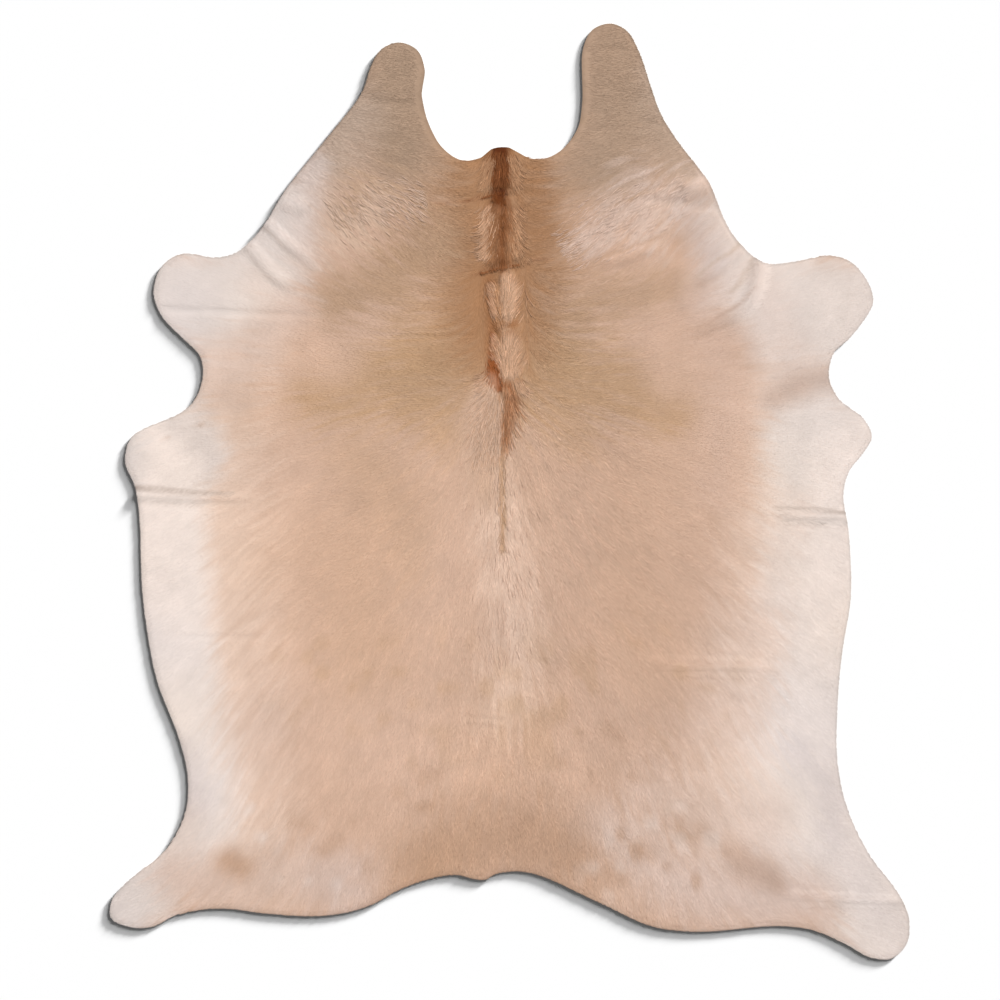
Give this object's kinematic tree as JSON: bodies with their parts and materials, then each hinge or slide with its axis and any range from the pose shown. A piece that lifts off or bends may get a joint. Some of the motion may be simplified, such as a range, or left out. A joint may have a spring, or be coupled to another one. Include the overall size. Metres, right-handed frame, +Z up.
{
  "type": "cowhide",
  "caption": "Whole hair-on cowhide lying flat as a rug: one thin sheet with cheek flaps, foreleg, elbow and hind-leg lobes, soft shoulder folds and a raised mane.",
  "frame": {"origin": "middle of the hide's box, on the surface it lies on", "axes": "+Z up out of the coat, +Y along the spine towards the neck, +X to the hide's right seen from above with the neck away"},
  "size_m": [1.82, 2.13, 0.0106],
  "materials": {
    "coat": "short lying hair, tan on the back and cream at the edge, over a pale suede flesh side"
  },
  "bodies": {
    "root": {"hide": "coat"}
  },
  "joints": []
}
